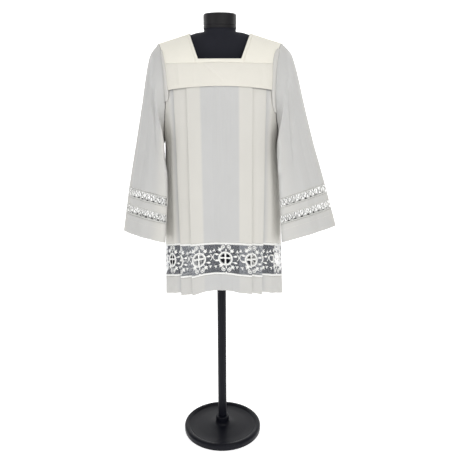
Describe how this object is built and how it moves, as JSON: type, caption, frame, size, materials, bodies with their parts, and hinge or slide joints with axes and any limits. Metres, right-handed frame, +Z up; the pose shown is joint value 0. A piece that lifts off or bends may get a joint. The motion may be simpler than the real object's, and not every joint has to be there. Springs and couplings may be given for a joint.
{
  "type": "surplice on a dress form",
  "caption": "Hollow square-necked surplice with pleated front and back, wide sleeves and lace bands, hanging on a smooth black limbless dress form with a round base.",
  "frame": {"origin": "centre of the flat underside of the round base, on the pole's axis", "axes": "+Z up; -Y towards the front of the garment; +X towards the garment's left sleeve, which is on a viewer's right"},
  "size_m": [0.8292, 0.32, 1.66],
  "materials": {
    "ivory_cloth": "plain-weave ivory polyester-cotton, matt with a faint sheen",
    "white_lace": "off-white machine lace and net",
    "black_jersey": "black stretch jersey over a firm foam torso",
    "black_cap": "satin black neck cap",
    "black_metal": "satin black paint"
  },
  "bodies": {
    "root": {"yoke_front": "ivory_cloth", "front_panel": "ivory_cloth", "lace_front": "white_lace", "hem_front": "ivory_cloth", "yoke_back": "ivory_cloth", "back_panel": "ivory_cloth", "lace_back": "white_lace", "hem_back": "ivory_cloth", "shoulder_left": "ivory_cloth", "sleeve_left_upper": "ivory_cloth", "sleeve_left_middle": "ivory_cloth", "sleeve_left_cuff": "ivory_cloth", "sleeve_left_lace_upper_front": "white_lace", "sleeve_left_lace_upper_back": "white_lace", "sleeve_left_lace_lower_front": "white_lace", "sleeve_left_lace_lower_back": "white_lace", "shoulder_right": "ivory_cloth", "sleeve_right_upper": "ivory_cloth", "sleeve_right_middle": "ivory_cloth", "sleeve_right_cuff": "ivory_cloth", "sleeve_right_lace_upper_front": "white_lace", "sleeve_right_lace_upper_back": "white_lace", "sleeve_right_lace_lower_front": "white_lace", "sleeve_right_lace_lower_back": "white_lace", "neck_facing": "ivory_cloth", "form_torso": "black_jersey", "form_neck_cap": "black_cap", "form_pole": "black_metal", "form_base": "black_metal"}
  },
  "joints": []
}
